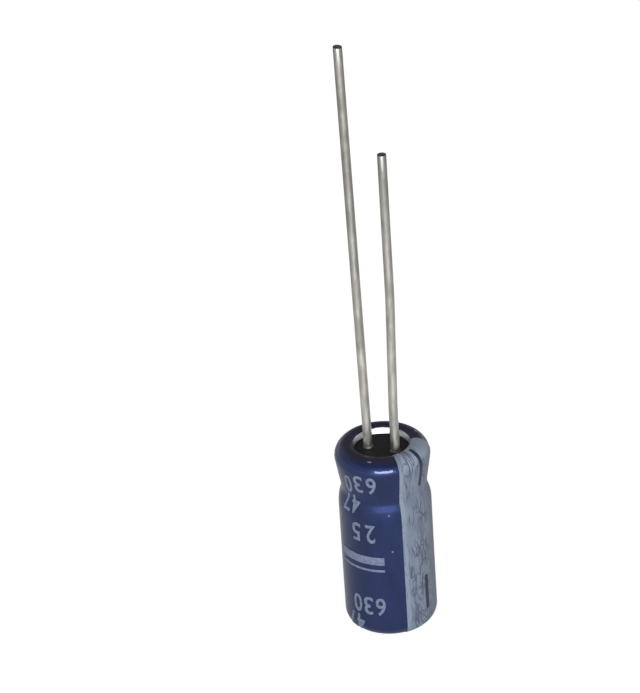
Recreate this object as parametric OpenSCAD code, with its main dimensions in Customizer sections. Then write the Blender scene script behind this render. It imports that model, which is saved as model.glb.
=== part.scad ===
// Radial electrolytic capacitor: a drawn aluminium can, its seal, winding, leads and printed sleeve.
// Millimetres. The origin is the centre of the base, +Z runs up to the leads, +X towards the cathode lead.

/* [Case] */
// Diameter of the sleeved body
case_d = 5.15; // [4.9:0.05:6.3]
// Height of the sleeved body, base to rim
case_h = 11.5; // [10.5:0.5:16]
// How far the rim stands out past the body
rim_bulge = 0.07; // [0.05:0.01:0.15]
// Radius of the rim's outer rounding
rim_round = 0.79; // [0.74:0.01:0.85]
// Radius of the curl's inner rounding, on the sleeve
curl_round = 0.33; // [0.31:0.01:0.4]
// Radius of the corner round the base
base_round = 0.78; // [0.6:0.02:0.9]

/* [Bead] */
// Distance from the rim's top down to the middle of the bead
bead_drop = 2.6; // [2.5:0.05:2.9]
// Depth of the bead below the body's side
bead_depth = 0.2; // [0.15:0.05:0.3]
// Radius of the bead's hollow
bead_hollow = 1; // [0.9:0.05:1.1]
// Height of the shoulder under the bead
bead_shoulder = 1.2; // [1.05:0.05:1.3]

/* [Can] */
// Wall of the aluminium can
can_wall = 0.2; // [0.16:0.01:0.21]
// How far the curled edge reaches below the rim's top
curl_reach = 0.6; // [0.5:0.02:0.65]

/* [Sleeve] */
// Thickness of the sleeve
sleeve_t = 0.08; // [0.05:0.01:0.09]
// Room between the sleeve and the can
sleeve_gap = 0.01; // [0.005:0.005:0.02]
// Width of the flat lip that the sleeve keeps under the base, inside its corner
lip_w = 0.06; // [0.02:0.01:0.3]
// How far round the curl the sleeve reaches, from its outermost point
sleeve_end = 140; // [110:5:150]

/* [Bung] */
// Depth of the rubber's face below the rim's top
bung_recess = 0.5; // [0.4:0.02:0.55]
// How far the rubber reaches below the bead's shoulder
bung_foot = 0.05; // [0.02:0.01:0.4]
// Room round the rubber
bung_gap = 0.01; // [0.005:0.005:0.02]

/* [Leads] */
// Diameter of the lead wire
lead_d = 0.5; // [0.4:0.02:0.56]
// Distance between the leads where they leave the rubber
lead_pitch = 1.63; // [1.5:0.05:1.9]
// Length of the anode lead past the rubber
anode_len = 24.45; // [15:0.5:27]
// Length of the cathode lead past the rubber
cathode_len = 18.4; // [12:0.5:22]
// Radius of the bends in both leads
bend_r = 40; // [20:5:60]
// How much the wire's radius swells in a bend
bend_swell = 0.002; // [0.001:0.001:0.005]
// How far a bend laps over the straight lengths at its ends
bend_lap = 0.05; // [0.02:0.01:0.1]
// Height above the rubber at which the anode lead starts to lean
anode_rise = 0.6; // [0.4:0.1:3]
// Lean of the anode lead, in degrees
anode_lean = 0.82; // [0.1:0.02:2]
// Height above the rubber at which the cathode lead starts to lean
cathode_rise = 2.1; // [0.4:0.1:3]
// Lean of the cathode lead's middle, in degrees
cathode_lean = 1.5; // [0.1:0.1:3]
// Length of the cathode lead's leaning middle
cathode_middle = 6; // [2:0.5:7]
// Slant of the anode lead's sheared end, in degrees
shear_slant = 6; // [0:1:40]

/* [Tabs] */
// Diameter of the round stem that seals in the rubber
stem_d = 0.9; // [0.8:0.02:0.96]
// Depth below the rubber's face at which the weld cone starts
weld_depth = 0.4; // [0.3:0.05:0.8]
// Diameter of the weld at the rubber's face
weld_d = 0.6; // [0.58:0.02:0.7]
// Height of the weld's crown above the rubber
weld_crown = 0.07; // [0.04:0.01:0.12]
// Thickness of the flattened paddle
paddle_t = 0.18; // [0.12:0.02:0.24]
// Length of the wedge in which the stem turns into the paddle
wedge_h = 0.7; // [0.5:0.1:1.2]
// How far the paddle stops short of the foil's lower edge
paddle_short = 0.5; // [0.3:0.1:3]

/* [Winding] */
// Radius of the space that the winding spindle leaves
core_r = 0.36; // [0.3:0.02:0.42]
// Thickness of the etched anode foil
anode_foil_t = 0.1; // [0.08:0.01:0.12]
// Thickness of the cathode foil
cathode_foil_t = 0.04; // [0.03:0.005:0.06]
// Thickness of each separator paper
paper_t = 0.045; // [0.035:0.005:0.06]
// Room between one layer and the next
layer_gap = 0.005; // [0.004:0.001:0.01]
// Room between the winding and the can's side
winding_gap = 0.05; // [0.03:0.01:0.2]
// Room between the winding and the can's floor
floor_gap = 0.2; // [0.1:0.05:0.5]
// Room between the winding and the rubber
head_gap = 0.4; // [0.3:0.05:1]
// How far the papers reach past the foils at each end
paper_margin = 0.3; // [0.1:0.05:0.5]
// Thickness of the tape that closes the winding
tape_t = 0.05; // [0.04:0.005:0.07]
// Width of the tape that closes the winding
tape_w = 4; // [2:0.5:6]

/* [Print] */
// Thickness of the print
ink_t = 0.03; // [0.02:0.005:0.05]
// Room between the print and the sleeve
ink_gap = 0.001; // [0.001:0.001:0.005]
// Room between a minus mark and the stripe round it
mark_gap = 0.01; // [0.005:0.005:0.02]
// How far round the base's corner the print reaches, in degrees below the side
print_foot = 70; // [40:2:72]
// Angle from the cathode lead at which the polarity stripe starts
stripe_from = -47.5; // [-60:0.5:-40]
// Angle from the cathode lead at which the polarity stripe ends
stripe_to = 24; // [20:1:45]
// Angle from the cathode lead to the minus marks
minus_at = -14.6; // [-20:0.2:0]
// Width of a minus mark
minus_w = 0.27; // [0.15:0.01:0.5]
// Length of a minus mark
minus_l = 2.25; // [1:0.05:2.5]
// Height of the lowest minus mark above the base
minus_z = 1.32; // [1:0.02:2]
// Distance from the rim's top down to the minus mark that runs over the rim
rim_mark_drop = 2.1; // [1:0.05:2.6]
// Height of a numeral
numeral_h = 1.15; // [0.8:0.05:1.3]
// Width of a numeral
numeral_w = 0.54; // [0.4:0.02:0.6]
// Width of a numeral's strokes
stroke = 0.14; // [0.1:0.01:0.18]
// Height of the lower row of numerals above the base, to its middle
low_row = 2.15; // [1.9:0.05:2.4]
// Drop from the bead's shoulder to the middle of the upper row of numerals
high_row_drop = 0.75; // [0.7:0.05:1]
// Drop from the bead's shoulder to the lower edge of the broad bar
bar_drop = 2.75; // [2.6:0.05:3]
// Width of the broad bar
bar_w = 0.5; // [0.2:0.05:0.6]
// Width of the thin bar
thin_bar_w = 0.14; // [0.1:0.01:0.2]
// Room between the two bars
bar_room = 0.31; // [0.2:0.01:0.4]

/* [Hidden] */
$fn = 96;
wire_sides = 48;
// How far a cutting shape runs past what it cuts
past = 1;

// The can's outer surface lies this far inside the sleeve's
cover = sleeve_t + sleeve_gap;
body_r = case_d / 2;
can_r = body_r - cover;
can_top = case_h - cover;
cavity_r = can_r - can_wall;

// Centres and radii of the arcs in the can's outline
corner_r = base_round - cover;
corner_at = [can_r - corner_r, cover + corner_r];
rim_r = rim_round - cover;
rim_at = [can_r + rim_bulge - rim_r, can_top - rim_r];
curl_r = curl_round - cover;
curl_at = [rim_at.x, can_top - curl_r];
bead_z = case_h - bead_drop;
bead_at = [can_r - bead_depth + bead_hollow, bead_z];
shoulder_z = bead_z - bead_shoulder;
// The shoulder's radius makes its arc meet the bead's without a corner
shoulder_sum = (bead_shoulder * bead_shoulder + bead_depth * bead_depth) / (2 * bead_depth);
shoulder_r = shoulder_sum - bead_hollow;
shoulder_at = [can_r - shoulder_r, shoulder_z];
shoulder_deg = asin(bead_shoulder / shoulder_sum);
// Slope of the straight stretch from the bead up to the rim, which leans out and so is below zero
rise = rim_at - bead_at;
rim_deg = atan2(-rise.y, -rise.x) + acos((rim_r + bead_hollow) / norm(rise));

// The seal
bung_top = case_h - bung_recess;
bung_z = shoulder_z - bung_foot;
mouth_r = curl_at.x - curl_r;
curl_z = case_h - curl_reach;
bung_room = can_wall + bung_gap;

// The leads and the round part of the tabs
lead_r = lead_d / 2;
stem_r = stem_d / 2;
weld_z = bung_top - weld_depth;
crown_r = (weld_d / 2 + lead_r) / 2;

// The winding: the step of its outline, half the width of a paddle and the ramp beside it, all in degrees
step = 12;
paddle_half = 3 * step;
ramp = 3 * step;
can_floor = cover + can_wall;
paper_z = can_floor + floor_gap;
paper_h = bung_z - head_gap - paper_z;
foil_z = paper_z + paper_margin;
foil_h = paper_h - 2 * paper_margin;
pitch = anode_foil_t + cathode_foil_t + 2 * paper_t + 4 * layer_gap;
inner_paper_at = anode_foil_t + layer_gap;
cathode_foil_at = inner_paper_at + paper_t + layer_gap;
outer_paper_at = cathode_foil_at + cathode_foil_t + layer_gap;
tab_room = paddle_t + layer_gap;
paddle_r = lead_pitch / 2 - paddle_t / 2 - core_r;
anode_turn = 180 + 360 * round(paddle_r / pitch - 0.5);
cathode_turn = 360 * round((paddle_r - cathode_foil_at) / pitch);
wound_room = cavity_r - winding_gap - core_r - tab_room - tape_t - layer_gap;
last_turn = step * floor(360 * (wound_room / pitch - 1) / step);
tape_from = last_turn + step;
tape_to = tape_from + 360 - 2 * step;
tape_z = paper_z + (paper_h - tape_w) / 2;

// The print: its two faces, and the sweep in which the minus marks are cut, in degrees to each side
ink_in = -cover - ink_gap;
ink_out = ink_in - ink_t;
mark_sweep = 10;
high_row = shoulder_z - high_row_drop;
bar_z = shoulder_z - bar_drop;

// A numeral's inked strokes: top, upper left and right, middle, lower left and right, foot
STROKES = [
    [1, 1, 1, 0, 1, 1, 1],
    [0, 0, 1, 0, 0, 1, 0],
    [1, 0, 1, 1, 1, 0, 1],
    [1, 0, 1, 1, 0, 1, 1],
    [0, 1, 1, 1, 0, 1, 0],
    [1, 1, 0, 1, 0, 1, 1],
    [1, 1, 0, 1, 1, 1, 1],
    [1, 0, 1, 0, 0, 1, 0],
    [1, 1, 1, 1, 1, 1, 1],
    [1, 1, 1, 1, 0, 1, 1]
];
// The numerals on the straight side: digit, angle from the cathode lead, height of its middle
NUMERALS = [
    [6, -79.8, low_row], [3, -95.9, low_row], [0, -111.8, low_row],
    [2, -87.6, high_row], [5, -107.2, high_row]
];
// The two plain bars: first angle, last angle, lower edge, width
BARS = [[-137, -72, bar_z, bar_w], [-137, -72, bar_z - bar_room - thin_bar_w, thin_bar_w]];

// Points of an arc about a centre, from one angle to another
function arc(at, r, from, to, steps) =
    [for (i = [0 : steps]) let (a = from + (to - from) * i / steps) at + r * [cos(a), sin(a)]];

// The can's outline moved inwards by d, one stretch at a time
function corner(d, start) = arc(corner_at, corner_r - d, start, 0, 6);
function shoulder(d) = arc(shoulder_at, shoulder_r - d, 0, shoulder_deg, 3);
function bead(d) = arc(bead_at, -bead_hollow - d, shoulder_deg, rim_deg, 5);
function rim(d) = arc(rim_at, rim_r - d, rim_deg, 90, 8);
function curl(d, end) = arc(curl_at, curl_r - d, 90, end, 5);
function side(d, start, end) = concat(corner(d, start), shoulder(d), bead(d), rim(d), curl(d, end));
function reversed(list) = [for (i = [len(list) - 1 : -1 : 0]) list[i]];

// A band of even thickness that follows the can from one depth to another, from one angle to another
module band(inner, outer, start, end) {
    polygon(concat(side(outer, start, end), reversed(side(inner, start, end))));
}

// How far a layer is lifted by a paddle under it, at an angle of the winding
function lifted(turn, first) =
    let (off = abs((turn - first + 180) % 360 - 180))
    turn < first - 90 || off >= paddle_half + ramp ? 0
    : tab_room * (off <= paddle_half ? 1 : (1 + cos(180 * (off - paddle_half) / ramp)) / 2);

// Radius of a layer's inner face. It first passes the cathode paddle at the turn first_cathode
function layer_r(turn, at, first_cathode) =
    core_r + pitch * turn / 360 + at + lifted(turn, anode_turn) + lifted(turn, first_cathode);

// A strip of the winding
module strip(at, thick, low, high, first_cathode, from = 0, to = last_turn) {
    turns = [for (a = [from : step : to]) a];
    inner = [for (a = turns) layer_r(a, at, first_cathode) * [cos(a), sin(a)]];
    outer = [for (a = turns) (layer_r(a, at, first_cathode) + thick) * [cos(a), sin(a)]];
    translate([0, 0, low])
        linear_extrude(height = high - low)
            polygon(concat(inner, reversed(outer)));
}

// A bend of the lead wire from straight up towards +X, or towards -X when the turn is negative
module bend(turn) {
    lap = bend_lap / bend_r * 180 / PI;
    rotate([0, 0, turn < 0 ? 180 : 0])
        translate([bend_r, 0, 0])
            rotate([90, 0, 180])
                rotate([0, 0, -lap])
                    rotate_extrude(angle = abs(turn) + 2 * lap)
                        translate([bend_r, 0])
                            circle(r = lead_r + bend_swell, $fn = wire_sides);
}

// A lead wire, drawn leg by leg: each leg is a straight length and the bend after it
module wire(legs, i = 0) {
    length = legs[i][0];
    turn = legs[i][1];
    cylinder(h = length, r = lead_r, $fn = wire_sides);
    if (i < len(legs) - 1)
        translate([0, 0, length]) {
            bend(turn);
            translate([sign(turn) * bend_r * (1 - cos(turn)), 0, bend_r * sin(abs(turn))])
                rotate([0, turn, 0])
                    wire(legs, i + 1);
        }
}

// Length of the wire in a bend
function bend_len(turn) = bend_r * abs(turn) * PI / 180;

// The round part of a tab, with the room that its hole in the rubber leaves round it
module stem(foot, crown, room) {
    rotate_extrude()
        polygon([[0, foot], [stem_r + room, foot], [stem_r + room, weld_z], [weld_d / 2 + room, bung_top],
                 [room > 0 ? weld_d / 2 + room : crown_r, crown], [0, crown]]);
}

// A tab: stem, wedge and paddle in one piece, with the socket in which the wire is welded
module tab(side_x, at, turn, first_cathode) {
    low = foil_z + paddle_short;
    stem_z = paper_z + paper_h + head_gap / 2;
    mid_r = core_r + pitch * turn / 360 + at + paddle_t / 2;
    difference() {
        union() {
            translate([0, 0, low])
                linear_extrude(height = bung_z - bung_gap - low)
                    polygon(paddle(at, turn));
            difference() {
                translate([side_x * lead_pitch / 2, 0, 0])
                    stem(stem_z, bung_top + weld_crown, 0);
                for (face = [-1, 1])
                    translate([side_x * mid_r + face * paddle_t / 2, 0, stem_z])
                        rotate([0, face * wedge_deg(), 0])
                            translate([face < 0 ? -2 * stem_d : 0, -stem_d, -stem_d])
                                cube([2 * stem_d, 2 * stem_d, stem_d + wedge_h]);
            }
        }
        translate([side_x * lead_pitch / 2, 0, weld_z])
            cylinder(h = weld_depth + weld_crown + past, r = lead_r, $fn = wire_sides);
    }
}

// Slope of the wedge's faces
function wedge_deg() = atan((stem_r - paddle_t / 2) / wedge_h);

// Outline of a paddle, which lies in the winding against the layer under it
function paddle(at, turn) =
    let (turns = [for (a = [turn - paddle_half : step : turn + paddle_half]) a])
    concat(
        [for (a = turns) (core_r + pitch * a / 360 + at) * [cos(a), sin(a)]],
        reversed([for (a = turns) (core_r + pitch * a / 360 + at + paddle_t) * [cos(a), sin(a)]])
    );

// A thin shell of print over the whole sleeve
module ink(from, to) {
    rotate([0, 0, from])
        rotate_extrude(angle = to - from)
            band(ink_in, ink_out, -print_foot, sleeve_end);
}

// A block that cuts one straight mark out of the print, given by its middle
module mark(at, z, wide, tall) {
    rotate([0, 0, at])
        translate([body_r / 2, -wide / 2, z - tall / 2])
            cube([body_r, wide, tall]);
}

// A numeral's outline, upright
module numeral_shape(digit) {
    w = (numeral_w - stroke) / 2;
    h = (numeral_h - stroke) / 2;
    inked = STROKES[digit];
    for (k = [0, 3, 6])
        if (inked[k])
            translate([0, (3 - k) / 3 * h])
                square([numeral_w, stroke], center = true);
    for (k = [1, 2, 4, 5])
        if (inked[k])
            translate([k % 3 == 1 ? -w : w, (k < 3 ? h : -h) / 2])
                square([stroke, h + stroke], center = true);
}

// A numeral pushed through the print. The print is read with the leads down, so it stands on its head here
module numeral(digit, at, z) {
    rotate([0, 0, at])
        translate([body_r / 2, 0, z])
            rotate([90, 180, 90])
                linear_extrude(height = body_r)
                    numeral_shape(digit);
}

module sleeve() {
    color("#2e3b6b")
        rotate_extrude() {
            band(-sleeve_gap, -cover, -90, sleeve_end);
            translate([corner_at.x - lip_w, 0])
                square([lip_w, sleeve_t]);
        }
}

module can() {
    color("#c9cacd")
        rotate_extrude()
            polygon(concat(
                [[0, cover]], side(0, -90, 180), [[mouth_r, curl_z], [mouth_r + can_wall, curl_z]],
                reversed(side(can_wall, -90, 180)), [[0, can_floor]]
            ));
}

module bung() {
    tuck_r = mouth_r + can_wall + bung_gap;
    under_z = curl_z - bung_gap;
    color("#26272a")
        difference() {
            rotate_extrude()
                polygon(concat(
                    [[0, bung_z], [can_r - bung_room, bung_z]],
                    shoulder(bung_room), bead(bung_room), rim(bung_room),
                    [[tuck_r, rim_at.y + rim_r - bung_room], [tuck_r, under_z]],
                    [[mouth_r - bung_gap, under_z], [mouth_r - bung_gap, bung_top], [0, bung_top]]
                ));
            for (side_x = [-1, 1])
                translate([side_x * lead_pitch / 2, 0, 0])
                    stem(bung_z - past, bung_top + past, bung_gap);
        }
}

module anode_lead() {
    first = weld_depth + anode_rise;
    last = anode_len - anode_rise - bend_len(anode_lean);
    color("#cfcdc7")
        translate([-lead_pitch / 2, 0, weld_z])
            difference() {
                wire([[first, -anode_lean], [last, 0]]);
                translate([-bend_r * (1 - cos(anode_lean)), 0, first + bend_r * sin(anode_lean)])
                    rotate([0, -anode_lean, 0])
                        translate([0, 0, last - lead_r * tan(shear_slant)])
                            rotate([0, shear_slant, 0])
                                translate([-past, -past, 0])
                                    cube(2 * past);
            }
}

module cathode_lead() {
    first = weld_depth + cathode_rise;
    last = cathode_len - cathode_rise - cathode_middle - 2 * bend_len(cathode_lean);
    color("#cfcdc7")
        translate([lead_pitch / 2, 0, weld_z])
            wire([[first, cathode_lean], [cathode_middle, -cathode_lean], [last, 0]]);
}

module anode_tab() {
    color("#b9bbbe")
        tab(-1, 0, anode_turn);
}

module cathode_tab() {
    color("#b9bbbe")
        tab(1, cathode_foil_at, cathode_turn);
}

module anode_foil() {
    color("#8e9194")
        strip(0, anode_foil_t, foil_z, foil_z + foil_h, cathode_turn + 360);
}

module cathode_foil() {
    color("#a9abae")
        strip(cathode_foil_at, cathode_foil_t, foil_z, foil_z + foil_h, cathode_turn);
}

module inner_paper() {
    color("#c9ad7c")
        strip(inner_paper_at, paper_t, paper_z, paper_z + paper_h, cathode_turn + 360);
}

module outer_paper() {
    color("#c9ad7c")
        strip(outer_paper_at, paper_t, paper_z, paper_z + paper_h, cathode_turn);
}

module winding_tape() {
    color("#a8772f")
        strip(0, tape_t, tape_z, tape_z + tape_w, cathode_turn + 360, tape_from, tape_to);
}

module negative_stripe() {
    color("#8a94a6")
        difference() {
            ink(stripe_from, stripe_to);
            minus_blocks(mark_gap);
        }
}

module minus_marks() {
    color("#3b4557")
        intersection() {
            ink(minus_at - mark_sweep, minus_at + mark_sweep);
            minus_blocks(0);
        }
}

// Blocks that cut the minus marks, the upper one over the rim as well
module minus_blocks(room) {
    mark(minus_at, minus_z + minus_l / 2, minus_w + 2 * room, minus_l + 2 * room);
    mark(minus_at, case_h, minus_w + 2 * room, 2 * (rim_mark_drop + room));
}

module rating_print() {
    color("#8f97b4")
        intersection() {
            rotate_extrude()
                translate([can_r - ink_in, base_round])
                    square([ink_t, shoulder_z - base_round]);
            union() {
                for (n = NUMERALS)
                    numeral(n[0], n[1], n[2]);
                for (b = BARS)
                    rotate([0, 0, b[0]])
                        rotate_extrude(angle = b[1] - b[0])
                            translate([body_r / 2, b[2]])
                                square([body_r, b[3]]);
            }
        }
}

sleeve();
can();
bung();
anode_lead();
cathode_lead();
anode_tab();
cathode_tab();
anode_foil();
cathode_foil();
inner_paper();
outer_paper();
winding_tape();
negative_stripe();
minus_marks();
rating_print();
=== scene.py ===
"""Radial electrolytic capacitor: the looks of its sleeve, can, seal, leads and print."""

import math

import bmesh
import bpy
from bpy.props import FloatProperty, FloatVectorProperty, PointerProperty
from mathutils import Matrix, Quaternion, Vector


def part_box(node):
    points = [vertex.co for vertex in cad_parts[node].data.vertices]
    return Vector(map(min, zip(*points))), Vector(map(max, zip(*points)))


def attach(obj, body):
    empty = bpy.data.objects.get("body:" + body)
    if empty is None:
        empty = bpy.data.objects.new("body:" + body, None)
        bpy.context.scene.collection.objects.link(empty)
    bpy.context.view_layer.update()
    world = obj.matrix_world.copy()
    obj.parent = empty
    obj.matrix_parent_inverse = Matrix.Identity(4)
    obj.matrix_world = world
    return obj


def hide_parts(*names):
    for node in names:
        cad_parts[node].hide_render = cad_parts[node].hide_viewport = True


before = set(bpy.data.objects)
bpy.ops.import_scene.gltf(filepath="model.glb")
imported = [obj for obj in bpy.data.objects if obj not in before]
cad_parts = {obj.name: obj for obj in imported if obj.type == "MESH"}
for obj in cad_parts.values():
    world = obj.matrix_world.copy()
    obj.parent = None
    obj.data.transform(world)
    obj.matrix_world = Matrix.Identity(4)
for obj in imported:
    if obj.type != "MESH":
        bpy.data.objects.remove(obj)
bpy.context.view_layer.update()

bl_info = {
    "name": "Radial Electrolytic Capacitor",
    "version": (1, 0, 0),
    "blender": (4, 5, 0),
    "location": "View3D > Sidebar > Capacitor",
    "description": "Builds a small sleeved capacitor with its print, rubber seal and two leads",
    "category": "Add Mesh",
}

# One millimetre in Blender's metres
MM = 0.001
ROOT = "root"
SLEEVE_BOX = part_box("sleeve")
RIM_BULGE = 0.07 * MM

# The numbers printed on the sleeve: digit, angle from the cathode lead, height of its middle
NUMBERS = (
    ("6", -79.8, 2.15), ("3", -95.9, 2.15), ("0", -111.8, 2.15),
    ("4", -109.0, 0.82), ("7", -125.0, 0.82),
    ("2", -87.6, 6.95), ("5", -107.2, 6.95),
    ("4", -108.0, 8.62), ("7", -124.0, 8.62),
    ("6", -83.1, 10.1), ("3", -100.6, 10.1), ("0", -117.5, 9.85),
)
# The plain bars: first angle, last angle, lower edge, width
BARS = ((-137.0, -72.0, 4.95, 0.5), (-137.0, -72.0, 4.5, 0.14))
# Specks of stray ink: angle, height, width, length
SPECKS = (
    (-63.0, 8.16, 0.11, 0.11), (-61.2, 5.82, 0.11, 0.11),
    (-86.0, 11.42, 0.3, 0.1), (48.0, 11.45, 0.34, 0.13),
)
# How many flat sides a round piece is made with
SLEEVE_SIDES = 288
CAN_SIDES = 256
WELD_SIDES = 64
WIRE_SIDES = 48
# Edges that turn by more degrees than this stay sharp
SHARP_FROM = 40.0
# Longest step along the outline of the sleeve's outside, of its inside and of the can
FILM_STEP = 0.11 * MM
LINING_STEP = 0.16 * MM
CAN_STEP = 0.1 * MM
# Longest step of the print round the sleeve, and of a digit up it
PRINT_STEP = 0.07 * MM
DIGIT_STEP = 0.09 * MM


def length(default, description):
    """A property that holds a length in metres."""
    return FloatProperty(default=default, description=description, unit="LENGTH", precision=6)


def degrees(default, description):
    """A property that holds an angle in degrees."""
    return FloatProperty(default=default, description=description)


def colour(default, description):
    """A property that holds a linear colour."""
    return FloatVectorProperty(default=default, description=description,
                               subtype="COLOR", size=3, min=0, max=1)


class CapacitorCase(bpy.types.PropertyGroup):
    """Sizes of the can and of the sleeve that is shrunk over it"""

    diameter: length(2 * (SLEEVE_BOX[1][0] - RIM_BULGE), "Diameter of the sleeved body")
    height: length(SLEEVE_BOX[1][2], "Height of the sleeved body")
    rim_bulge: length(RIM_BULGE, "How far the rim stands out past the body")
    rim_round: length(0.79 * MM, "Radius of the rim's outer rounding")
    curl_round: length(0.33 * MM, "Radius of the curl's inner rounding")
    base_round: length(0.78 * MM, "Radius of the corner round the base")
    bead_drop: length(2.6 * MM, "Distance from the rim's top to the middle of the bead")
    bead_depth: length(0.2 * MM, "Depth of the bead below the body's side")
    bead_hollow: length(1.0 * MM, "Radius of the bead's hollow")
    bead_shoulder: length(1.2 * MM, "Height of the shoulder under the bead")
    sleeve_thickness: length(0.08 * MM, "Thickness of the plastic sleeve")
    sleeve_gap: length(0.01 * MM, "Room between the sleeve and the can")
    sleeve_end: degrees(140.0, "How far round the curl the sleeve reaches")
    lip_width: length(0.06 * MM, "Width of the sleeve's flat lip under the base")
    lip_slope: degrees(17.0, "Lean of the can's lip where it is pressed onto the rubber")
    can_wall: length(0.2 * MM, "Wall of the aluminium can")
    curl_reach: length(0.6 * MM, "How far the curled edge reaches below the rim's top")
    seal_recess: length(0.5 * MM, "Depth of the rubber's face below the rim's top")
    ripple: length(0.006 * MM, "Depth of the faint unevenness of the shrunk sleeve")


class CapacitorLeads(bpy.types.PropertyGroup):
    """Sizes of the two lead wires and of the welds at their feet"""

    diameter: length(0.5 * MM, "Diameter of the wire")
    pitch: length(1.63 * MM, "Distance between the leads at the rubber")
    anode_length: length(24.45 * MM, "Length of the anode lead past the rubber")
    cathode_length: length(18.4 * MM, "Length of the cathode lead past the rubber")
    bend_radius: length(40.0 * MM, "Radius of the bends in both leads")
    anode_rise: length(0.6 * MM, "Height at which the anode lead starts to lean")
    anode_lean: degrees(0.82, "Lean of the anode lead")
    cathode_rise: length(2.1 * MM, "Height at which the cathode lead starts to lean")
    cathode_lean: degrees(1.5, "Lean of the cathode lead's middle")
    cathode_middle: length(6.0 * MM, "Length of the cathode lead's leaning middle")
    weld_depth: length(0.4 * MM, "Depth of the wire's foot below the rubber's face")
    weld_diameter: length(0.6 * MM, "Diameter of the weld at the rubber's face")
    weld_crown: length(0.07 * MM, "Height of the weld above the rubber")
    shear_slant: degrees(6.0, "Slant of the anode lead's sheared end")


class CapacitorPrint(bpy.types.PropertyGroup):
    """Sizes of the polarity stripe and of the printed numbers"""

    thickness: length(0.03 * MM, "Thickness of the print")
    gap: length(0.001 * MM, "Room between the print and the sleeve")
    foot: degrees(70.0, "How far round the base's corner the print reaches")
    stripe_from: degrees(-47.5, "Angle at which the stripe starts")
    stripe_to: degrees(24.0, "Angle at which the stripe ends")
    mark_angle: degrees(-14.6, "Angle of the minus marks")
    mark_width: length(0.27 * MM, "Width of a minus mark")
    mark_length: length(2.25 * MM, "Length of the lower minus mark")
    mark_foot: length(1.32 * MM, "Height of the lower minus mark")
    rim_mark_drop: length(2.1 * MM, "Drop from the rim's top to the upper mark's foot")
    digit_height: length(1.17 * MM, "Height of a digit")
    digit_width: length(0.56 * MM, "Width of a digit")
    boldness: FloatProperty(default=0.012, description="How far the strokes are thickened")


class CapacitorColours(bpy.types.PropertyGroup):
    """Colours of the finishes"""

    sleeve: colour((0.016, 0.033, 0.124), "Blue plastic of the sleeve")
    # Painted reflection: a grey that stands for the room mirrored in the rim's top
    painted_rim_reflection: colour((0.058, 0.052, 0.088), "Film where it is folded over the rim")
    stripe: colour((0.196, 0.236, 0.306), "Pale grey ink of the polarity stripe")
    # Darker ink of the stripe's mottling, and also the painted shade along the stripe's last edge
    mottle_and_shade_ink: colour((0.174, 0.208, 0.282), "Thinner ink, through which the film shows")
    crease: colour((0.055, 0.062, 0.130), "Blue film that shows in the stripe's creases")
    mark: colour((0.026, 0.036, 0.068), "Dark ink of the minus marks")
    number: colour((0.185, 0.225, 0.330), "Pale ink of the numbers")
    rubber: colour((0.009, 0.009, 0.010), "Black rubber of the seal")
    wire: colour((0.650, 0.635, 0.590), "Tinned wire")
    cut: colour((0.150, 0.145, 0.130), "Bare cut end of a wire")
    aluminium: colour((0.840, 0.842, 0.845), "Aluminium of the can")


class CapacitorStage(bpy.types.PropertyGroup):
    """The camera and the studio light"""

    azimuth: degrees(24.04, "Angle of the camera round the part")
    elevation: degrees(30.015, "Angle of the camera above the floor")
    roll: degrees(3.913, "Turn of the camera about its own axis")
    distance: length(210.57 * MM, "Distance from the camera to its aim")
    aim_side: length(-3.018 * MM, "How far to the right of the axis the camera aims")
    aim_height: length(17.74 * MM, "Height at which the camera aims")
    focal_length: FloatProperty(default=217.92, description="Lens in millimetres", min=1)
    strip_light: FloatProperty(default=11.5, description="Brightness of the front light")
    strip_elevation: degrees(15.0, "Angle of the front light above the floor")
    strip_distance: length(300.0 * MM, "Distance from the part to the front light")
    strip_width: length(230.0 * MM, "Width of the front light")
    strip_height: length(90.0 * MM, "Height of the front light")
    room_light: FloatProperty(default=0.37, description="Brightness of the room overhead")


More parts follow.
